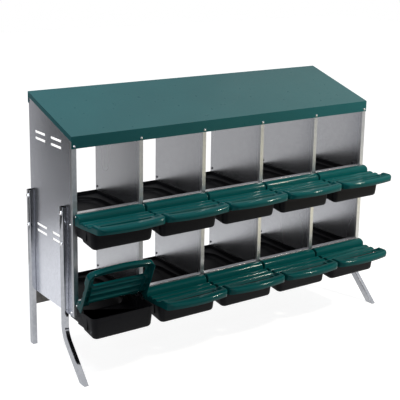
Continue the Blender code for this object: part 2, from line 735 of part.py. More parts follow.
for side_name, sign in (("left", -1), ("right", 1)):
    for end_name, is_bent in (("front", True), ("rear", False)):
        make_leg(f"{side_name}_{end_name}_leg", sign, is_bent)
        for bolt_name, height in BOLT_HEIGHTS.items():
            make_bolt(f"{side_name}_{end_name}_{bolt_name}_bolt", sign, is_bent, height)
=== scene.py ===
"""Looks of a two-tier roll-out nest box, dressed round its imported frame.

Units are metres in the frame's own axes: X runs across the box, Z is up and the front faces -Y.
Lids, pans, legs, rods and bolts get fine meshes in place of the plain solids, and screws are added.
The roof, posts and sills get rounded folds, and the panels, dividers and rails keep their solids.
"""
import json
from math import cos, hypot, pi, radians, sin, sqrt

import bmesh
import bpy
from mathutils import Matrix, Vector


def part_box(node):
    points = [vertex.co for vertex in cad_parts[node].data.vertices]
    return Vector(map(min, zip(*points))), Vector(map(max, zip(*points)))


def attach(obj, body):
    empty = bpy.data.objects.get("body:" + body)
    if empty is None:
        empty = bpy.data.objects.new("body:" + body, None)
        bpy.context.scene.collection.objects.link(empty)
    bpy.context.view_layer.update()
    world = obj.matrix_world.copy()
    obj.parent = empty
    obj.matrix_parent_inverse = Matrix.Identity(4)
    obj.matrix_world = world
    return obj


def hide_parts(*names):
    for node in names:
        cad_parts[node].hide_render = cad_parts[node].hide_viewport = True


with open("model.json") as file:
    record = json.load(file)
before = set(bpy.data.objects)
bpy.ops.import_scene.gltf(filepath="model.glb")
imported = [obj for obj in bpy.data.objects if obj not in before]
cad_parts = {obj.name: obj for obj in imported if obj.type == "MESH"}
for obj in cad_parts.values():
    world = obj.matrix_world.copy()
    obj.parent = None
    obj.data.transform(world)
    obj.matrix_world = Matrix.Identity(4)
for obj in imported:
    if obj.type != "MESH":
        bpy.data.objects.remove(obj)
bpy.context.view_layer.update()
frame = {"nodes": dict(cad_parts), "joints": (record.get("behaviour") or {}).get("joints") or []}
nodes = frame["nodes"]
joints = {joint["child"]: joint for joint in frame["joints"]}

TIERS = ("lower", "upper")
BAYS = 5
NESTS = [(tier, bay) for tier in TIERS for bay in range(1, BAYS + 1)]
CABINET = "cabinet"
TINY = 0.00001
MERGE_DISTANCE = 0.00002

# Camera, fitted to the photograph's straight edges
IMAGE_SIZE = 400
FOCAL_PIXELS = 924.18
OPTICAL_CENTRE = (171.68, 146.04)
SENSOR_MM = 36
CAMERA_FROM_POSTS = (-2.2829, -2.9596, 1.6635)
CAMERA_YAW = radians(33.70)
CAMERA_PITCH = radians(12.74)
CAMERA_ROLL = radians(0.55)

# Lid, measured from its hinge axis: reach runs forward and heights run up
LID_HALF_WIDTH = 0.145
LID_WALL = 0.0025
LID_REAR = -0.006
HUMP_CENTRE = (0.005, -0.007)
HUMP_HALF_LENGTH = 0.022
HUMP_RISE = 0.017
WAVE_START = 0.033
WAVE_PITCH = 0.033
WAVE_END = 0.1155
WAVE_BOTTOM_Z = -0.0175
WAVE_RISE = 0.0075
WAVE_ROUND = 0.97
FOOT_BLEND = 0.0025
RIM_START = 0.142
RIM_CREST = 0.159
RIM_FRONT = 0.185
RIM_RISE = 0.011
RIM_BOW = 0.018
RIM_CORNER = 0.024
SIDE_ROLL = 0.004
FRONT_ROLL = 0.012
SKIRT_RUN = 0.030
SKIRT_REAR_Z = -0.036
SKIRT_FRONT_Z = -0.027
RIM_BOTTOM_Z = -0.024
RIM_BOTTOM_BACK = 0.004
RIM_BOTTOM_CURVE = 1.5
BORDER_INNER = 0.121
BORDER_OUTER = 0.133
BORDER_START = 0.1155
BORDER_FULL = 0.130
SLOT_HALF_WIDTH = 0.114
SLOT_REAR = 0.1185
SLOT_FRONT = 0.1505
SLOT_CORNER = 0.009
SLOT_MARGIN = 0.010
COLLAR_REAR = 0.010
COLLAR_FRONT = 0.003
COLLAR_CHANGE = (SLOT_REAR + 0.002, SLOT_REAR + 0.008)
RIB_X = 0.1175
RIB_THICKNESS = 0.002
RIB_REACH = (0.028, 0.109)
RIB_BOTTOM_Z = -0.026
KNUCKLE_X = 0.109
KNUCKLE_LENGTH = 0.026
KNUCKLE_RADIUS = 0.0085
ROD_BORE = 0.0034

# Rows and columns of the lid's sheet: finer at the hump's foot, the grooves and the slot
HUMP_FOOT_START = 0.024
HUMP_FOOT_END = 0.036
GROOVE_BAND = 0.004
SLOT_BAND_INSIDE = 0.012
SLOT_BAND_OUTSIDE = 0.006
SLOT_BAND_AHEAD = 0.003
ROLL_STEPS = 5
SKIRT_STEPS = 4
RIB_CELLS = 40

# Pan and tray in one moulding, measured from the hinge axis: depth runs back and heights run up
PAN_WALL = 0.0025
PAN_HALF_WIDTH = 0.147
LEDGE_FRONT = 0.0275
PAN_REAR = 0.367
LEDGE_Z = -0.036
PAN_RIM_Z = -0.021
CUT_ABOVE = 0.030
DISH = {"half_width": 0.118, "front": 0.036, "rear": 0.343, "floor": -0.074, "fall": 0.021,
        "draft": 0.004, "corner": 0.085, "fillet": 0.016}
THROAT = {"half_width": 0.1275, "front": -0.006, "rear": 0.080, "floor": -0.0765, "fall": 0.003}
NECK = {"half_width": 0.134, "front": -0.060, "rear": 0.0055, "floor": -0.0768, "fall": 0.0006}
TRAY = {"half_width": 0.1345, "front": -0.1115, "rear": -0.010, "floor": -0.107, "fall": 0.013,
        "draft": 0.0075, "corner": 0.020, "fillet": 0.010}
PAN_EDGE = 0.0007
PAN_FLAT_ANGLE = radians(0.4)
PAN_SHARP_ANGLE = radians(55)
EYE_X = 0.133
EYE_THICKNESS = 0.007
EYE_RADIUS = 0.0055
EYE_FOOT = (-0.030, -0.008)
EYE_FOOT_Z = -0.026

# Legs: upright tube, the front ones bent forward near the foot
TUBE_SIZE = (0.020, 0.030)
TUBE_CORNER = 0.003
TUBE_WALL = 0.0015
LEG_TOP_Z = 0.665
BEND_Z = 0.192
BEND_RADIUS = 0.100
BEND_ANGLE = radians(45)
BEND_STEPS = 14

# Fasteners and rods
BOLT_FLANGE_RADIUS = 0.0092
BOLT_FLANGE_HEIGHT = 0.0013
BOLT_HEX = 0.0075
BOLT_HEAD = 0.005
BOLT_NUT = 0.0065
BOLT_NUT_INSET = 0.0015
BOLT_SHANK = 0.004
BOLT_SHANK_INSET = 0.001
SCREW_FLANGE_RADIUS = 0.0052
SCREW_FLANGE_HEIGHT = 0.0008
SCREW_HEX = 0.0038
SCREW_HEAD = 0.0035
SCREW_SINK = 0.0003
HEX_ROUND_SHARE = 0.12
ROD_END_ROUND = 0.0008
ROOF_SCREW_DROP = 0.030
PANEL_SCREW_Y = 0.022
PANEL_SCREW_Z = -0.040
DIVIDER_SCREW_Y = 0.352
DIVIDER_SCREW_Z = -0.007

# Folded sheets
FOLD_RADIUS = 0.0011
FOLD_FLAT_ANGLE = radians(1)
FOLD_SHARP_ANGLE = radians(40)
SHEET_THICKNESS = 0.0012

# Facets of round forms, and the largest angle that is shaded smooth on each kind of piece
ROUND_SIDES = 24
KNUCKLE_SIDES = 32
EDGE_SEGMENTS = 2
FOLD_SEGMENTS = 3
PAN_CORNER_SEGMENTS = 9
PAN_FILLET_SEGMENTS = 5
TUBE_CORNER_SEGMENTS = 5
SMOOTH_LID = radians(48)
SMOOTH_PAN = radians(25)
SMOOTH_LEG = radians(12)
SMOOTH_FOLD = radians(15)
SMOOTH_FASTENER = radians(35)

# Light and stage
FLOOR_HALF_SIZE = 12
FLOOR_GLOW_SEEN = 0.90
FLOOR_GLOW_MIRRORED = 0.70
SKY_TINT = (0.95, 0.97, 1)
SKY_STRENGTH = 0.14
WHITE = (1, 1, 1)
WARM_LAMP = (1, 0.95, 0.82)

# Finishes: the part of a noise's values that a change of roughness and a two-tone ramp cover,
# the fineness of the zinc's spangle, and the shares of its roughness that plated steel varies between
NOISE_RANGE = (0.25, 0.75)
RAMP_RANGE = (0.3, 0.7)
SPANGLE_SCALE = 90
PLATING_RANGE = (0.8, 1.2)


# Materials

def principled(name, colour, roughness, metallic=0.0, specular=0.5):
    """A material with its node tree and shader, with the values that are the same all over."""
    material = bpy.data.materials.new(name)
    material.use_nodes = True
    tree = material.node_tree
    shader = tree.nodes["Principled BSDF"]
    shader.inputs["Base Color"].default_value = (*colour, 1)
    shader.inputs["Roughness"].default_value = roughness
    shader.inputs["Metallic"].default_value = metallic
    shader.inputs["Specular IOR Level"].default_value = specular
    return material, tree, shader


def object_noise(tree, scale, detail, stretch=(1, 1, 1)):
    """Noise on the piece's own coordinates, stretched along its axes."""
    place = tree.nodes.new("ShaderNodeTexCoord")
    mapping = tree.nodes.new("ShaderNodeMapping")
    mapping.inputs["Scale"].default_value = stretch
    noise = tree.nodes.new("ShaderNodeTexNoise")
    noise.inputs["Scale"].default_value = scale
    noise.inputs["Detail"].default_value = detail
    tree.links.new(place.outputs["Object"], mapping.inputs["Vector"])
    tree.links.new(mapping.outputs["Vector"], noise.inputs["Vector"])
    return noise.outputs["Fac"]


def varied_roughness(tree, shader, value, low, high):
    """Let a noise carry the roughness from low to high."""
    spread = tree.nodes.new("ShaderNodeMapRange")
    spread.inputs["From Min"].default_value = NOISE_RANGE[0]
    spread.inputs["From Max"].default_value = NOISE_RANGE[1]
    spread.inputs["To Min"].default_value = low
    spread.inputs["To Max"].default_value = high
    tree.links.new(value, spread.inputs["Value"])
    tree.links.new(spread.outputs["Result"], shader.inputs["Roughness"])


def two_tone(tree, shader, value, dark, light):
    """Let a noise carry the colour from dark to light."""
    ramp = tree.nodes.new("ShaderNodeValToRGB")
    ramp.color_ramp.elements[0].position = RAMP_RANGE[0]
    ramp.color_ramp.elements[0].color = (*dark, 1)
    ramp.color_ramp.elements[1].position = RAMP_RANGE[1]
    ramp.color_ramp.elements[1].color = (*light, 1)
    tree.links.new(value, ramp.inputs["Fac"])
    tree.links.new(ramp.outputs["Color"], shader.inputs["Base Color"])


def bumped(tree, shader, value, strength, distance):
    """Let a noise raise the surface."""
    bump = tree.nodes.new("ShaderNodeBump")
    bump.inputs["Strength"].default_value = strength
    bump.inputs["Distance"].default_value = distance
    tree.links.new(value, bump.inputs["Height"])
    tree.links.new(bump.outputs["Normal"], shader.inputs["Normal"])


def galvanised_sheet(name, dark, light, smooth, rough):
    """Zinc-coated steel: faint spangle in the colour, streaks along the rolling direction in the gloss."""
    material, tree, shader = principled(name, light, smooth, metallic=1.0)
    place = tree.nodes.new("ShaderNodeTexCoord")
    spangle = tree.nodes.new("ShaderNodeTexVoronoi")
    spangle.inputs["Scale"].default_value = SPANGLE_SCALE
    tree.links.new(place.outputs["Object"], spangle.inputs["Vector"])
    cells = tree.nodes.new("ShaderNodeSeparateColor")
    tree.links.new(spangle.outputs["Color"], cells.inputs["Color"])
    two_tone(tree, shader, cells.outputs["Red"], dark, light)
    streaks = object_noise(tree, scale=4, detail=2, stretch=(1, 1, 0.4))
    varied_roughness(tree, shader, streaks, smooth, rough)
    waviness = object_noise(tree, scale=3, detail=1)
    bumped(tree, shader, waviness, strength=0.008, distance=0.003)
    return material


def roof_paint():
    """Baked coat on the folded roof sheet, with a slight orange peel."""
    material, tree, shader = principled("roof_paint", (0.012, 0.106, 0.118), 0.30, specular=0.19)
    shades = object_noise(tree, scale=5, detail=4)
    two_tone(tree, shader, shades, dark=(0.011, 0.101, 0.113), light=(0.013, 0.111, 0.123))
    varied_roughness(tree, shader, object_noise(tree, scale=60, detail=2), low=0.27, high=0.33)
    peel = object_noise(tree, scale=70, detail=1)
    bumped(tree, shader, peel, strength=0.02, distance=0.0005)
    return material


def lid_plastic():
    """Glossy deep green moulding with faint flow marks."""
    material, tree, shader = principled("lid_plastic", (0.003, 0.098, 0.102), 0.09, specular=0.07)
    flow = object_noise(tree, scale=9, detail=3, stretch=(0.3, 1, 1))
    two_tone(tree, shader, flow, dark=(0.002, 0.092, 0.096), light=(0.004, 0.104, 0.108))
    varied_roughness(tree, shader, object_noise(tree, scale=120, detail=3), low=0.07, high=0.11)
    ripples = object_noise(tree, scale=45, detail=2)
    bumped(tree, shader, ripples, strength=0.05, distance=0.002)
    return material


def pan_plastic():
    """Black moulding with a fine matt grain."""
    material, tree, shader = principled("pan_plastic", (0.007, 0.007, 0.009), 0.46, specular=0.10)
    shades = object_noise(tree, scale=14, detail=4)
    two_tone(tree, shader, shades, dark=(0.006, 0.006, 0.008), light=(0.008, 0.008, 0.010))
    varied_roughness(tree, shader, object_noise(tree, scale=250, detail=3), low=0.40, high=0.54)
    grain = object_noise(tree, scale=1500, detail=2)
    bumped(tree, shader, grain, strength=0.12, distance=0.0004)
    return material


def bright_zinc(name, colour, roughness):
    """Plated rod, bolts and screws."""
    material, tree, shader = principled(name, colour, roughness, metallic=1.0)
    patches = object_noise(tree, scale=300, detail=3)
    low, high = (roughness * share for share in PLATING_RANGE)
    varied_roughness(tree, shader, patches, low, high)
    return material


SHEET = galvanised_sheet("panel_sheet", (0.72, 0.735, 0.80), (0.75, 0.765, 0.83), 0.24, 0.28)
POST_SHEET = galvanised_sheet("post_sheet", (0.52, 0.53, 0.55), (0.56, 0.57, 0.59), 0.28, 0.34)
# Darker copy of the panel's zinc for the right side panel and the dividers: painted shade for their faces
# inside the bays
INNER_SHEET_PAINTED_SHADE = galvanised_sheet("divider_sheet", (0.51, 0.515, 0.54), (0.53, 0.535, 0.56), 0.25, 0.28)
SILL_SHEET = galvanised_sheet("sill_sheet", (0.60, 0.605, 0.62), (0.64, 0.645, 0.66), 0.21, 0.26)
TUBE = galvanised_sheet("leg_tube", (0.39, 0.40, 0.43), (0.43, 0.44, 0.47), 0.06, 0.09)
# The rails are galvanised like the rest; their dark colour is painted shade, standing in for the shadow under
# the box
RAIL_PAINTED_SHADE = galvanised_sheet("rail_painted_shade", (0.085, 0.082, 0.078), (0.12, 0.115, 0.11), 0.34, 0.46)
ROOF = roof_paint()
LID = lid_plastic()
PAN = pan_plastic()
BRIGHT = bright_zinc("bright_zinc", (0.75, 0.75, 0.77), 0.22)
DARK_SCREW = bright_zinc("dark_screw", (0.05, 0.05, 0.055), 0.40)


# Helpers for numbers and meshes

def smooth_step(low, high, value):
    """Share from 0 at low to 1 at high, level at both ends."""
    share = min(max((value - low) / (high - low), 0), 1)
    return share * share * (3 - 2 * share)


def soft_max(a, b, blend):
    """The larger of two heights, with a fillet where they cross."""
    return (a + b + sqrt((a - b) ** 2 + blend ** 2)) / 2


def unique(items):
    """The items once each, in the order given."""
    return list(dict.fromkeys(items))


def new_object(name, bm, material, smooth):
    """A finished mesh as an object at the origin."""
    mesh = bpy.data.meshes.new(name)
    bm.to_mesh(mesh)
    bm.free()
    mesh.materials.append(material)
    mesh.shade_smooth()
    mesh.set_sharp_from_angle(angle=smooth)
    piece = bpy.data.objects.new(name, mesh)
    bpy.context.scene.collection.objects.link(piece)
    return piece


def block(low, high):
    """A plain block between two corners."""
    bm = bmesh.new()
    bmesh.ops.create_cube(bm, size=1)
    low = Vector(low)
    high = Vector(high)
    bmesh.ops.scale(bm, vec=high - low, verts=bm.verts)
    bmesh.ops.translate(bm, vec=(low + high) / 2, verts=bm.verts)
    return bm


def cylinder_along_x(radius, low, high, y=0, z=0):
    """A plain round bar from low to high along X."""
    bm = bmesh.new()
    bmesh.ops.create_cone(bm, cap_ends=True, segments=ROUND_SIDES, radius1=radius, radius2=radius,
                          depth=high - low)
    turn = Matrix.Rotation(pi / 2, 4, "Y")
    bmesh.ops.transform(bm, matrix=Matrix.Translation(((low + high) / 2, y, z)) @ turn, verts=bm.verts)
    return bm


def round_edges(bm, edges, radius, segments):
    """Round the given edges."""
    bmesh.ops.bevel(bm, geom=edges, offset=radius, offset_type="OFFSET", segments=segments, profile=0.5,
                    affect="EDGES", clamp_overlap=True, material=-1)


def fresh_parts(made):
    """New vertices of an extrusion and the edges between them."""
    verts = unique(item for item in made["geom"] if isinstance(item, bmesh.types.BMVert))
    fresh = set(verts)
    edges = [item for item in made["geom"]
             if isinstance(item, bmesh.types.BMEdge) and fresh.issuperset(item.verts)]
    return verts, edges


def plain_object(name, bm):
    """A mesh as a passing object for a cut or a union."""
    mesh = bpy.data.meshes.new(name)
    bmesh.ops.recalc_face_normals(bm, faces=bm.faces)
    bm.to_mesh(mesh)
    bm.free()
    piece = bpy.data.objects.new(name, mesh)
    bpy.context.scene.collection.objects.link(piece)
    return piece


def discard(piece):
    """Remove a passing object and its mesh."""
    mesh = piece.data
    bpy.data.objects.remove(piece)
    bpy.data.meshes.remove(mesh)


def joined(bm, steps):
    """Apply a list of (operation, solid) cuts and unions to a solid and give back the result."""
    piece = plain_object("work", bm)
    for operation, tool_bm in steps:
        tool = plain_object("tool", tool_bm)
        change = piece.modifiers.new("change", "BOOLEAN")
        change.operation = operation
        change.solver = "EXACT"
        change.object = tool
        changed = piece.evaluated_get(bpy.context.evaluated_depsgraph_get()).to_mesh().copy()
        piece.modifiers.clear()
        former = piece.data
        piece.data = changed
        bpy.data.meshes.remove(former)
        discard(tool)
    result = bmesh.new()
    result.from_mesh(piece.data)
    discard(piece)
    bmesh.ops.remove_doubles(result, verts=result.verts, dist=MERGE_DISTANCE)
    return result


# Lids

def lid_height(x, reach):
    """Top of the lid: hinge hump, ridges, and a rim raised round the front and the slot's ends."""
    turn = (min(max(reach, WAVE_START), WAVE_END) - WAVE_START) / WAVE_PITCH
    off_crest = 2 * (turn % 1) - 1
    lowest = sqrt(1 - WAVE_ROUND ** 2)
    ridge = (sqrt(1 - (WAVE_ROUND * off_crest) ** 2) - lowest) / (1 - lowest)
    front = smooth_step(RIM_START, RIM_CREST, reach)
    end = smooth_step(BORDER_INNER, BORDER_OUTER, abs(x)) * smooth_step(BORDER_START, BORDER_FULL, reach)
    z = WAVE_BOTTOM_Z + WAVE_RISE * ridge + RIM_RISE * max(front, end)
    along = abs(reach - HUMP_CENTRE[0]) / HUMP_HALF_LENGTH
    if along < 1:
        z = soft_max(z, HUMP_CENTRE[1] + HUMP_RISE * sqrt(1 - along ** 2), FOOT_BLEND)
    return z


def past_outline(x, reach):
    """How far a point lies past the line where the lid starts to roll down.

    The way out of the lid and the roll's radius there come with it.
    """
    dx = abs(x) - (LID_HALF_WIDTH - RIM_CORNER)
    dy = reach - (RIM_FRONT - RIM_CORNER)
    side = -1 if x < 0 else 1
    if dx > 0 and dy > 0:
        distance = hypot(dx, dy)
        out = (side * dx / distance, dy / distance)
    elif dx > dy:
        distance = dx
        out = (side, 0)
    else:
        distance = dy
        out = (0, 1)
    roll = SIDE_ROLL + (FRONT_ROLL - SIDE_ROLL) * out[1] ** 2
    return distance - RIM_CORNER + roll, out, roll


def lid_point(x, reach):
    """Drape a point of the flat sheet over the lid's form, rolled down at the sides and the front."""
    over, (out_x, out_y), roll = past_outline(x, reach)
    if over <= 0:
        px, pr, z = x, reach, lid_height(x, reach)
    else:
        base_x = x - out_x * over
        base_r = reach - out_y * over
        turn = min(over / roll, pi / 2)
        px = base_x + out_x * roll * sin(turn)
        pr = base_r + out_y * roll * sin(turn)
        shoulder = lid_height(base_x, base_r) - roll * (1 - cos(turn))
        hang = min(max((over - roll * pi / 2) / SKIRT_RUN, 0), 1)
        hem = SKIRT_REAR_Z + (SKIRT_FRONT_Z - SKIRT_REAR_Z) * smooth_step(0, RIM_FRONT, base_r)
        hem += (RIM_BOTTOM_Z - SKIRT_FRONT_Z) * out_y ** 2
        z = shoulder + (hem - shoulder) * hang
        pr -= RIM_BOTTOM_BACK * out_y ** 2 * hang ** RIM_BOTTOM_CURVE
    share = min(max((pr - WAVE_END) / (RIM_FRONT - WAVE_END), 0), 1)
    bow = RIM_BOW * (1 - min(abs(px) / LID_HALF_WIDTH, 1) ** 2)
    return Vector((px, -(pr + share * bow), z))


def stations(start, *stretches):
    """Grid lines from a start through stretches of (end, cells)."""
    lines = [start]
    for end, cells in stretches:
        last = lines[-1]
        lines += [last + (end - last) * (i + 1) / cells for i in range(cells)]
    return lines


def slot_edge(x, reach):
    """Nearest point on the finger slot's rounded outline, and whether the given point is inside it."""
    middle = (SLOT_REAR + SLOT_FRONT) / 2
    half_reach = (SLOT_FRONT - SLOT_REAR) / 2
    qx = abs(x) - (SLOT_HALF_WIDTH - SLOT_CORNER)
    qy = abs(reach - middle) - (half_reach - SLOT_CORNER)
    sign_x = -1 if x < 0 else 1
    sign_y = -1 if reach < middle else 1
    if qx > 0 and qy > 0:
        length = hypot(qx, qy)
        near_x = SLOT_HALF_WIDTH - SLOT_CORNER + SLOT_CORNER * qx / length
        near_y = half_reach - SLOT_CORNER + SLOT_CORNER * qy / length
        return (sign_x * near_x, middle + sign_y * near_y), length < SLOT_CORNER
    if qx > qy:
        return (sign_x * SLOT_HALF_WIDTH, reach), qx < SLOT_CORNER
    return (x, middle + sign_y * half_reach), qy < SLOT_CORNER


def near_slot(vertex):
    """Whether a point of the flat sheet lies in or close round the slot."""
    inside_ends = abs(vertex.co.x) < SLOT_HALF_WIDTH + SLOT_MARGIN
    return inside_ends and SLOT_REAR - SLOT_MARGIN < vertex.co.y < SLOT_FRONT + SLOT_MARGIN


def push_out(vertex, rolled, hung):
    """Move a point of the flat sheet out to a share of the roll and a share of the skirt."""
    over, (out_x, out_y), roll = past_outline(vertex.co.x, vertex.co.y)
    move = roll * pi / 2 * rolled + SKIRT_RUN * hung - over
    vertex.co.x += out_x * move
    vertex.co.y += out_y * move


def lid_grid():
    """A flat grid of the lid's sheet: x across and y along its reach."""
    first_groove = WAVE_START + WAVE_PITCH
    second_groove = first_groove + WAVE_PITCH
    along = stations(LID_REAR, (HUMP_FOOT_START, 14), (HUMP_FOOT_END, 12),
                     (first_groove - GROOVE_BAND, 10), (first_groove + GROOVE_BAND, 8),
                     (second_groove - GROOVE_BAND, 10), (second_groove + GROOVE_BAND, 8),
                     (WAVE_END, 5), (SLOT_FRONT + SLOT_BAND_AHEAD, 12), (RIM_FRONT - FRONT_ROLL, 9))
    half = stations(0, (SLOT_HALF_WIDTH - SLOT_BAND_INSIDE, 12), (SLOT_HALF_WIDTH + SLOT_BAND_OUTSIDE, 9),
                    (LID_HALF_WIDTH - SIDE_ROLL, 9))
    across = [-x for x in reversed(half[1:])] + half
    columns = len(across) - 1
    rows = len(along) - 1
    bm = bmesh.new()
    bmesh.ops.create_grid(bm, x_segments=columns, y_segments=rows, size=0.5)
    for vertex in bm.verts:
        column = round((vertex.co.x + 0.5) * columns)
        row = round((vertex.co.y + 0.5) * rows)
        vertex.co = (across[column], along[row], 0)
    return bm


def lid_pattern():
    """The lid's sheet laid out flat, with the slot cut and the skirt added, and the slot's edges."""
    bm = lid_grid()
    gone = []
    for face in bm.faces:
        x, reach, _ = face.calc_center_median()
        if slot_edge(x, reach)[1] or past_outline(x, reach)[0] > 0:
            gone.append(face)
    bmesh.ops.delete(bm, geom=gone, context="FACES")
    border = [edge for edge in bm.edges if edge.is_boundary]
    slot = [edge for edge in border if all(near_slot(vertex) for vertex in edge.verts)]
    outline = [edge for edge in border
               if edge not in slot and max(vertex.co.y for vertex in edge.verts) > LID_REAR + TINY]
    for vertex in unique(vertex for edge in slot for vertex in edge.verts):
        vertex.co.xy = slot_edge(vertex.co.x, vertex.co.y)[0]
    for vertex in unique(vertex for edge in outline for vertex in edge.verts):
        push_out(vertex, 0, 0)
    for step in range(1, ROLL_STEPS + SKIRT_STEPS + 1):
        verts, outline = fresh_parts(bmesh.ops.extrude_edge_only(bm, edges=outline))
        for vertex in verts:
            push_out(vertex, min(step / ROLL_STEPS, 1), max(step - ROLL_STEPS, 0) / SKIRT_STEPS)
    return bm, slot


def lid_moulding():
    """The lid in its own place: draped sheet, slot collar, wall, rod holes, ribs and hinge knuckles."""
    bm, slot = lid_pattern()
    for vertex in bm.verts:
        vertex.co = lid_point(vertex.co.x, vertex.co.y)
    lower, _ = fresh_parts(bmesh.ops.extrude_edge_only(bm, edges=slot))
    for vertex in lower:
        ahead = smooth_step(*COLLAR_CHANGE, -vertex.co.y)
        vertex.co.z -= COLLAR_REAR + (COLLAR_FRONT - COLLAR_REAR) * ahead
    bmesh.ops.recalc_face_normals(bm, faces=bm.faces)
    if sum(face.normal.z * face.calc_area() for face in bm.faces) < 0:
        bmesh.ops.reverse_faces(bm, faces=bm.faces)
    bmesh.ops.solidify(bm, geom=bm.faces[:], thickness=LID_WALL)
    # The underside goes no lower than a wall's thickness below the grooves
    for vertex in bm.verts:
        if abs(vertex.co.x) < LID_HALF_WIDTH - SIDE_ROLL and WAVE_START < -vertex.co.y < WAVE_END:
            vertex.co.z = max(vertex.co.z, WAVE_BOTTOM_Z - LID_WALL)
    bm = joined(bm, [("DIFFERENCE", cylinder_along_x(ROD_BORE, -PAN_HALF_WIDTH, PAN_HALF_WIDTH))])
    for side in (-1, 1):
        add_rib(bm, side * RIB_X)
        add_knuckle(bm, side * KNUCKLE_X)
    bmesh.ops.recalc_face_normals(bm, faces=bm.faces)
    return bm


def add_rib(bm, x):
    """A stiffening rib under the lid, whose top follows the ridges."""
    strip = bmesh.ops.create_grid(bm, x_segments=RIB_CELLS, y_segments=1, size=0.5)["verts"]
    for vertex in strip:
        reach = RIB_REACH[0] + (RIB_REACH[1] - RIB_REACH[0]) * (vertex.co.x + 0.5)
        top = lid_height(x, reach) - LID_WALL / 2
        vertex.co = (x - RIB_THICKNESS / 2, -reach, top if vertex.co.y > 0 else RIB_BOTTOM_Z)
    faces = unique(face for vertex in strip for face in vertex.link_faces)
    far, _ = fresh_parts(bmesh.ops.extrude_face_region(bm, geom=faces))
    bmesh.ops.translate(bm, vec=(RIB_THICKNESS, 0, 0), verts=far)


def add_knuckle(bm, x):
    """A bored barrel under the hump, round the hinge rod."""
    ring = bmesh.ops.create_circle(bm, segments=KNUCKLE_SIDES, radius=KNUCKLE_RADIUS)["verts"]
    hole = bmesh.ops.create_circle(bm, segments=KNUCKLE_SIDES, radius=ROD_BORE)["verts"]
    edges = unique(edge for vertex in ring + hole for edge in vertex.link_edges)
    face = bmesh.ops.bridge_loops(bm, edges=edges)["faces"]
    far, _ = fresh_parts(bmesh.ops.extrude_face_region(bm, geom=face))
    bmesh.ops.translate(bm, verts=far, vec=(0, 0, KNUCKLE_LENGTH))
    turn = Matrix.Rotation(pi / 2, 4, "Y")
    shift = Matrix.Translation((x - KNUCKLE_LENGTH / 2, 0, 0))
    bmesh.ops.transform(bm, matrix=shift @ turn, verts=ring + hole + far)


def make_lids():
    """Ten copies of the lid, each on its hinge and opened as its solid is."""
    pattern = lid_moulding()
    for tier, bay in NESTS:
        name = f"{tier}_lid_{bay}"
        joint = joints[name]
        opened = radians(-joint["range_deg"][0])
        place = Matrix.Translation(joint["pos_m"]) @ Matrix.Rotation(-opened, 4, "X")
        bm = pattern.copy()
        bmesh.ops.transform(bm, matrix=place, verts=bm.verts)
        lid = new_object(f"fine_{name}", bm, LID, SMOOTH_LID)
        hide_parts(name)
        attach(lid, name)
    pattern.free()


# Pans

def tub(wall, top, half_width, front, rear, floor, fall, draft=0, corner=0, fillet=0):
    """A hollow of the pan, grown by a wall: a block with round corners, leaning walls and a sloping floor."""
    low = Vector((-half_width - wall, front - wall, floor - wall))
    bm = block(low, (half_width + wall, rear + wall, top))
    if corner:
        upright = [edge for edge in bm.edges if abs(edge.verts[0].co.z - edge.verts[1].co.z) > TINY]
        round_edges(bm, upright, corner + wall, PAN_CORNER_SEGMENTS)
    if fillet:
        ground = [edge for edge in bm.edges if max(vertex.co.z for vertex in edge.verts) < low.z + TINY]
        round_edges(bm, ground, fillet + wall, PAN_FILLET_SEGMENTS)
    middle = (front + rear) / 2
    for vertex in bm.verts:
        share = (PAN_RIM_Z - vertex.co.z) / (PAN_RIM_Z - low.z)
        reach_front = min(max((middle - vertex.co.y) / (middle - low.y), 0), 1)
        across = vertex.co.x / (half_width + wall)
        vertex.co.x -= draft * share * across
        vertex.co.y += draft * share * reach_front
        if vertex.co.z < low.z + fillet + wall + TINY:
            vertex.co.z += fall * (vertex.co.y - front) / (rear - front)
    return bm


def hinge_eye(low_x):
    """A leaning lug on the tray wall with a round head at the hinge axis."""
    lug = block((low_x, -EYE_RADIUS, EYE_FOOT_Z), (low_x + EYE_THICKNESS, EYE_RADIUS, 0))
    for vertex in lug.verts:
        if vertex.co.z < EYE_FOOT_Z / 2:
            vertex.co.y = EYE_FOOT[0] if vertex.co.y < 0 else EYE_FOOT[1]
    head = cylinder_along_x(EYE_RADIUS, low_x, low_x + EYE_THICKNESS)
    return joined(lug, [("UNION", head)])


def pan_moulding():
    """Ledge with an upstand round it, sunk dish, throat under the sill, tray and hinge eyes."""
    ledge = block((-PAN_HALF_WIDTH, LEDGE_FRONT, LEDGE_Z - PAN_WALL), (PAN_HALF_WIDTH, PAN_REAR, PAN_RIM_Z))
    recess = block((-PAN_HALF_WIDTH + PAN_WALL, LEDGE_FRONT - PAN_WALL, LEDGE_Z),
                   (PAN_HALF_WIDTH - PAN_WALL, PAN_REAR - PAN_WALL, CUT_ABOVE))
    steps = [("UNION", tub(PAN_WALL, LEDGE_Z - PAN_WALL / 2, **DISH))]
    steps += [("UNION", tub(PAN_WALL, PAN_RIM_Z, **hollow)) for hollow in (THROAT, NECK, TRAY)]
    steps.append(("DIFFERENCE", recess))
    steps += [("DIFFERENCE", tub(0, CUT_ABOVE, **hollow)) for hollow in (DISH, THROAT, NECK, TRAY)]
    for side in (-1, 1):
        steps.append(("UNION", hinge_eye(side * EYE_X - EYE_THICKNESS / 2)))
    steps.append(("DIFFERENCE", cylinder_along_x(ROD_BORE, -PAN_HALF_WIDTH, PAN_HALF_WIDTH)))
    bm = joined(ledge, steps)
    bmesh.ops.dissolve_limit(bm, angle_limit=PAN_FLAT_ANGLE, verts=bm.verts, edges=bm.edges)
    sharp = [edge for edge in bm.edges if edge.is_manifold and edge.calc_face_angle() > PAN_SHARP_ANGLE]
    round_edges(bm, sharp, PAN_EDGE, EDGE_SEGMENTS)
    return bm


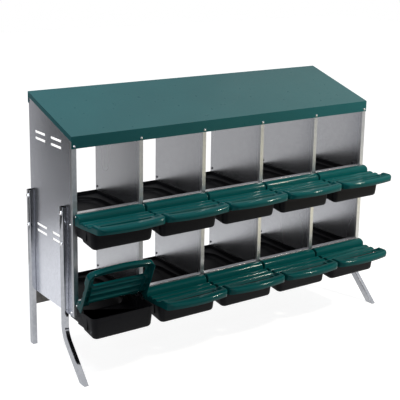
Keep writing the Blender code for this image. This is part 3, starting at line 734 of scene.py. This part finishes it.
def make_pans():
    """Ten copies of the pan, each placed by its lid's hinge."""
    pattern = pan_moulding()
    for tier, bay in NESTS:
        name = f"{tier}_nest_pan_{bay}"
        place = Matrix.Translation(joints[f"{tier}_lid_{bay}"]["pos_m"])
        bm = pattern.copy()
        bmesh.ops.transform(bm, matrix=place, verts=bm.verts)
        pan = new_object(f"fine_{name}", bm, PAN, SMOOTH_PAN)
        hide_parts(name)
        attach(pan, CABINET)
    pattern.free()


# Legs, bolts, rods and screws

def leg_tube(bent):
    """An open tube with round corners that stands on the floor, with its upright part on the Z axis."""
    corner_offset = TUBE_CORNER * (2 - sqrt(2)) * sqrt(2)
    bm = bmesh.new()
    bmesh.ops.create_grid(bm, x_segments=1, y_segments=1, size=0.5)
    bmesh.ops.scale(bm, vec=(*TUBE_SIZE, 1), verts=bm.verts)
    bmesh.ops.bevel(bm, geom=bm.verts[:], offset=corner_offset, offset_type="OFFSET",
                    segments=TUBE_CORNER_SEGMENTS, profile=0.5, affect="VERTICES", material=-1)
    bmesh.ops.delete(bm, geom=bm.faces[:], context="FACES_ONLY")
    bmesh.ops.translate(bm, vec=(0, 0, LEG_TOP_Z), verts=bm.verts)
    straight_end = BEND_Z if bent else 0
    verts, edges = fresh_parts(bmesh.ops.extrude_edge_only(bm, edges=bm.edges[:]))
    bmesh.ops.translate(bm, vec=(0, 0, straight_end - LEG_TOP_Z), verts=verts)
    if bent:
        turned = bmesh.ops.spin(bm, geom=verts + edges, cent=(0, -BEND_RADIUS, BEND_Z), axis=(1, 0, 0),
                                angle=-BEND_ANGLE, steps=BEND_STEPS, use_merge=False)
        edges = [item for item in turned["geom_last"] if isinstance(item, bmesh.types.BMEdge)]
        verts, edges = fresh_parts(bmesh.ops.extrude_edge_only(bm, edges=edges))
        bmesh.ops.translate(bm, vec=(0, -BEND_Z, -BEND_Z), verts=verts)
        bmesh.ops.bisect_plane(bm, geom=bm.verts[:] + bm.edges[:] + bm.faces[:], plane_co=(0, 0, 0),
                               plane_no=(0, 0, -1), clear_outer=True)
    bmesh.ops.remove_doubles(bm, verts=bm.verts, dist=MERGE_DISTANCE)
    bmesh.ops.recalc_face_normals(bm, faces=bm.faces)
    bmesh.ops.solidify(bm, geom=bm.faces[:], thickness=TUBE_WALL)
    for vertex in bm.verts:
        vertex.co.z = max(vertex.co.z, 0)
    return bm


def make_legs():
    """Four tubes outside the side panels, where their solids stand."""
    for side in ("left", "right"):
        for end in ("front", "rear"):
            name = f"{side}_{end}_leg"
            low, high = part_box(name)
            bm = leg_tube(end == "front")
            place = Vector(((low.x + high.x) / 2, high.y - TUBE_SIZE[1] / 2, 0))
            bmesh.ops.translate(bm, vec=place, verts=bm.verts)
            leg = new_object(f"fine_{name}", bm, TUBE, SMOOTH_LEG)
            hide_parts(name)
            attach(leg, CABINET)


def bar_along_z(bm, radius, low, high, sides=ROUND_SIDES):
    """A disc, a shank or a hexagon along Z, added to a bmesh."""
    verts = bmesh.ops.create_cone(bm, cap_ends=True, segments=sides, radius1=radius, radius2=radius,
                                  depth=high - low)["verts"]
    bmesh.ops.translate(bm, vec=(0, 0, (low + high) / 2), verts=verts)
    return verts


def hex_part(bm, radius, low, high):
    """A hexagon along Z with its top edges rounded, added to a bmesh."""
    verts = bar_along_z(bm, radius, low, high, sides=6)
    rim = unique(edge for vertex in verts for edge in vertex.link_edges
                 if all(end in verts and end.co.z > high - TINY for end in edge.verts))
    round_edges(bm, rim, radius * HEX_ROUND_SHARE, EDGE_SEGMENTS)


def make_bolts():
    """Flanged hexagon heads outside the legs, dark nuts inside the panels."""
    for name in nodes:
        if not name.endswith("_bolt"):
            continue
        low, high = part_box(name)
        length = high.x - low.x
        seat = length - BOLT_HEAD
        bm = bmesh.new()
        bar_along_z(bm, BOLT_SHANK, BOLT_SHANK_INSET, length - BOLT_SHANK_INSET)
        bar_along_z(bm, BOLT_FLANGE_RADIUS, seat, seat + BOLT_FLANGE_HEIGHT)
        hex_part(bm, BOLT_HEX, seat + BOLT_FLANGE_HEIGHT / 2, length)
        hex_part(bm, BOLT_HEX, BOLT_NUT_INSET, BOLT_NUT)
        for face in bm.faces:
            face.material_index = int(face.calc_center_median().z < BOLT_NUT)
        side = -1 if name.startswith("left") else 1
        start = high.x if side < 0 else low.x
        turn = Matrix.Rotation(side * pi / 2, 4, "Y")
        place = Matrix.Translation((start, (low.y + high.y) / 2, (low.z + high.z) / 2))
        bmesh.ops.transform(bm, matrix=place @ turn, verts=bm.verts)
        bolt = new_object(f"fine_{name}", bm, BRIGHT, SMOOTH_FASTENER)
        bolt.data.materials.append(DARK_SCREW)
        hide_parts(name)
        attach(bolt, CABINET)


def make_rods():
    """One hinge rod for each tier, with its ends rounded."""
    for tier in TIERS:
        name = f"{tier}_hinge_rod"
        low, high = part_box(name)
        middle = (low + high) / 2
        bm = cylinder_along_x((high.z - low.z) / 2, low.x, high.x, middle.y, middle.z)
        ends = [edge for edge in bm.edges if abs(edge.verts[0].co.x - edge.verts[1].co.x) < TINY]
        round_edges(bm, ends, ROD_END_ROUND, EDGE_SEGMENTS)
        rod = new_object(f"fine_{name}", bm, BRIGHT, SMOOTH_FASTENER)
        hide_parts(name)
        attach(rod, CABINET)


def make_screw(name, place, direction, finish):
    """A flanged hexagon head that stands out of a sheet along a direction."""
    bm = bmesh.new()
    bar_along_z(bm, SCREW_FLANGE_RADIUS, -SCREW_SINK, SCREW_FLANGE_HEIGHT)
    hex_part(bm, SCREW_HEX, SCREW_FLANGE_HEIGHT / 2, SCREW_HEAD)
    turn = Vector(direction).to_track_quat("Z", "Y").to_matrix().to_4x4()
    bmesh.ops.transform(bm, matrix=Matrix.Translation(place) @ turn, verts=bm.verts)
    screw = new_object(name, bm, finish, SMOOTH_FASTENER)
    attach(screw, CABINET)


def make_screws():
    """Roof screws in the fascia, pan screws in the side panels and dividers."""
    fascia_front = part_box("roof")[0].y
    screw_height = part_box("front_post_1")[1].z - ROOF_SCREW_DROP
    for index in range(1, BAYS + 2):
        low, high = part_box(f"front_post_{index}")
        place = ((low.x + high.x) / 2, fascia_front, screw_height)
        make_screw(f"roof_screw_{index}", place, (0, -1, 0), BRIGHT)
    post_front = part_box("front_post_2")[0].y
    for tier in TIERS:
        hinge_height = joints[f"{tier}_lid_1"]["pos_m"][2]
        for side, way in (("left", -1), ("right", 1)):
            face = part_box(f"{side}_side_panel")[0 if way < 0 else 1].x
            place = (face, post_front + PANEL_SCREW_Y, hinge_height + PANEL_SCREW_Z)
            make_screw(f"{tier}_{side}_pan_screw", place, (way, 0, 0), BRIGHT)
        for index in range(1, BAYS):
            low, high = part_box(f"divider_{index}")
            for face, way, side in ((low.x, -1, "left"), (high.x, 1, "right")):
                place = (face, post_front + DIVIDER_SCREW_Y, hinge_height + DIVIDER_SCREW_Z)
                make_screw(f"{tier}_divider_screw_{index}_{side}", place, (way, 0, 0), DARK_SCREW)


# Sheets

def make_folded(name, finish):
    """A copy of a folded piece with its outer folds rounded."""
    bm = bmesh.new()
    bm.from_mesh(nodes[name].data)
    bmesh.ops.remove_doubles(bm, verts=bm.verts, dist=TINY)
    bmesh.ops.dissolve_limit(bm, angle_limit=FOLD_FLAT_ANGLE, verts=bm.verts, edges=bm.edges)
    folds = []
    for edge in bm.edges:
        if not edge.is_manifold or edge.calc_face_angle_signed() < FOLD_SHARP_ANGLE:
            continue
        narrow = min(face.calc_area() for face in edge.link_faces) / edge.calc_length()
        if narrow > 2 * SHEET_THICKNESS:
            folds.append(edge)
    round_edges(bm, folds, FOLD_RADIUS, FOLD_SEGMENTS)
    sheet = new_object(f"fine_{name}", bm, finish, SMOOTH_FOLD)
    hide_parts(name)
    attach(sheet, CABINET)


def finish_solid(name, finish):
    """A finish for a solid that keeps its shape."""
    materials = nodes[name].data.materials
    materials.clear()
    materials.append(finish)


make_lids()
make_pans()
make_legs()
make_bolts()
make_rods()
make_screws()
make_folded("roof", ROOF)
finish_solid("left_side_panel", SHEET)
finish_solid("right_side_panel", INNER_SHEET_PAINTED_SHADE)
for node_name in nodes:
    if "post" in node_name:
        make_folded(node_name, POST_SHEET)
    elif "sill" in node_name:
        make_folded(node_name, SILL_SHEET)
    elif "rail" in node_name:
        finish_solid(node_name, RAIL_PAINTED_SHADE)
    elif "divider" in node_name:
        finish_solid(node_name, INNER_SHEET_PAINTED_SHADE)


# Stage, light and camera

def make_floor():
    """A wide white floor that keeps a soft shadow."""
    bm = bmesh.new()
    bmesh.ops.create_grid(bm, x_segments=1, y_segments=1, size=FLOOR_HALF_SIZE)
    mesh = bpy.data.meshes.new("floor")
    bm.to_mesh(mesh)
    bm.free()
    material, tree, shader = principled("white_floor", (0.40, 0.40, 0.40), 0.6)
    material.cycles.emission_sampling = "NONE"
    shader.inputs["Emission Color"].default_value = (*WHITE, 1)
    light_path = tree.nodes.new("ShaderNodeLightPath")
    mirrored = tree.nodes.new("ShaderNodeMath")
    mirrored.operation = "MULTIPLY"
    mirrored.inputs[1].default_value = FLOOR_GLOW_MIRRORED
    tree.links.new(light_path.outputs["Is Glossy Ray"], mirrored.inputs[0])
    glow = tree.nodes.new("ShaderNodeMath")
    glow.operation = "MULTIPLY_ADD"
    glow.inputs[1].default_value = FLOOR_GLOW_SEEN
    tree.links.new(light_path.outputs["Is Camera Ray"], glow.inputs[0])
    tree.links.new(mirrored.outputs["Value"], glow.inputs[2])
    tree.links.new(glow.outputs["Value"], shader.inputs["Emission Strength"])
    mesh.materials.append(material)
    floor = bpy.data.objects.new("floor", mesh)
    bpy.context.scene.collection.objects.link(floor)


def larger(tree, first, second):
    """The larger of two node outputs."""
    node = tree.nodes.new("ShaderNodeMath")
    node.operation = "MAXIMUM"
    tree.links.new(first, node.inputs[0])
    tree.links.new(second, node.inputs[1])
    return node.outputs["Value"]


def sky(tree, tint, strength):
    """An even background of one tint."""
    node = tree.nodes.new("ShaderNodeBackground")
    node.inputs["Color"].default_value = (*tint, 1)
    node.inputs["Strength"].default_value = strength
    return node.outputs["Background"]


def make_world():
    """Dim even light on the object, and white where the background is seen or mirrored."""
    world = bpy.data.worlds.new("studio")
    bpy.context.scene.world = world
    world.use_nodes = True
    tree = world.node_tree
    tree.nodes.clear()
    light_path = tree.nodes.new("ShaderNodeLightPath").outputs
    seen = larger(tree, light_path["Is Camera Ray"], light_path["Is Glossy Ray"])
    seen = larger(tree, seen, light_path["Is Transmission Ray"])
    mix = tree.nodes.new("ShaderNodeMixShader")
    output = tree.nodes.new("ShaderNodeOutputWorld")
    tree.links.new(seen, mix.inputs["Fac"])
    tree.links.new(sky(tree, SKY_TINT, SKY_STRENGTH), mix.inputs[1])
    tree.links.new(sky(tree, WHITE, 1), mix.inputs[2])
    tree.links.new(mix.outputs["Shader"], output.inputs["Surface"])


def make_flag(name, low, high, glow, tint=WHITE):
    """A card beside or before the box, unseen by the camera, that the sheet metal reflects."""
    bm = block(low, high)
    mesh = bpy.data.meshes.new(name)
    bm.to_mesh(mesh)
    bm.free()
    material, _, shader = principled(name, (0, 0, 0), 1.0, specular=0)
    material.cycles.emission_sampling = "NONE"
    shader.inputs["Emission Color"].default_value = (*tint, 1)
    shader.inputs["Emission Strength"].default_value = glow
    mesh.materials.append(material)
    flag = bpy.data.objects.new(name, mesh)
    flag.visible_camera = False
    flag.visible_diffuse = False
    flag.visible_shadow = False
    bpy.context.scene.collection.objects.link(flag)


def soft_box(name, place, target, size, power, colour, mirrored_only=False):
    """A rectangular lamp, or a window that shows only as a highlight on glossy surfaces."""
    light = bpy.data.lights.new(name, "AREA")
    light.shape = "RECTANGLE"
    light.color = colour
    light.size, light.size_y = size
    light.energy = power
    lamp = bpy.data.objects.new(name, light)
    lamp.visible_diffuse = not mirrored_only
    lamp.location = place
    lamp.rotation_euler = (Vector(target) - Vector(place)).to_track_quat("-Z", "Y").to_euler()
    bpy.context.scene.collection.objects.link(lamp)


def make_camera():
    """A camera at the photograph's viewing angle, placed from the front of the posts."""
    data = bpy.data.cameras.new("camera")
    data.sensor_width = SENSOR_MM
    data.lens = FOCAL_PIXELS / IMAGE_SIZE * SENSOR_MM
    data.shift_x = 0.5 - OPTICAL_CENTRE[0] / IMAGE_SIZE
    data.shift_y = OPTICAL_CENTRE[1] / IMAGE_SIZE - 0.5
    camera = bpy.data.objects.new("camera", data)
    post_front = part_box("front_post_2")[0].y
    x, y, z = CAMERA_FROM_POSTS
    turn = Matrix.Rotation(-CAMERA_YAW, 4, "Z") @ Matrix.Rotation(pi / 2 - CAMERA_PITCH, 4, "X")
    turn = turn @ Matrix.Rotation(CAMERA_ROLL, 4, "Z")
    camera.matrix_world = Matrix.Translation((x, post_front + y, z)) @ turn
    bpy.context.scene.collection.objects.link(camera)
    bpy.context.scene.camera = camera


make_floor()
make_world()
make_flag("left_flag", (-4, 1.65, 0), (-1.3, 1.66, 4), glow=0.10)
make_flag("upper_flag", (-4, 1.62, 0.45), (-1.3, 1.63, 4), glow=0.02)
make_flag("grey_flag", (-1.2, 1.2, 0), (1.2, 1.21, 2.2), glow=0.61)
make_flag("back_flag", (-0.3, 2.4, 0.85), (5, 2.41, 2.6), glow=0.06)
make_flag("front_flag", (-4, -3.15, 0.002), (0.75, -0.95, 0.004), glow=0.05)
make_flag("far_flag", (-4, -9, 0.002), (6, -3.15, 0.004), glow=0.02)
make_flag("cool_card", (-0.2, -3.15, 0.006), (1.5, -2.4, 0.008), glow=0.55, tint=(0.70, 0.86, 1.15))
make_flag("warm_card", (0.75, -2.4, 0.002), (2.35, -0.95, 0.004), glow=1.35, tint=(1, 0.91, 0.62))
make_flag("far_warm_card", (1.5, -3.15, 0.002), (2.6, -2.4, 0.004), glow=1.2, tint=(1, 0.91, 0.60))
soft_box("key_light", place=(1.6, -1.35, 1.9), target=(0.1, 0, 0.5), size=(0.15, 0.15), power=36,
         colour=WARM_LAMP)
soft_box("cool_light", place=(-2.4, -1.6, 1.5), target=(-0.3, 0, 0.5), size=(0.12, 0.12), power=4,
         colour=(0.82, 0.91, 1))
soft_box("top_light", place=(-1.3, 0.4, 2.5), target=(-0.1, 0.2, 0.9), size=(1.4, 1.0), power=27,
         colour=(0.93, 0.97, 1))
soft_box("key_window", place=(1.6, -0.92, 2.08), target=(0.1, 0, 0.5), size=(0.36, 0.36), power=17,
         colour=WARM_LAMP, mirrored_only=True)
soft_box("front_window", place=(-1.15, -1.62, 2.2), target=(-1.15, -1.62, 0), size=(1.1, 0.25), power=26,
         colour=(0.9, 0.96, 1), mirrored_only=True)
make_camera()
bpy.context.scene.view_settings.view_transform = "Standard"
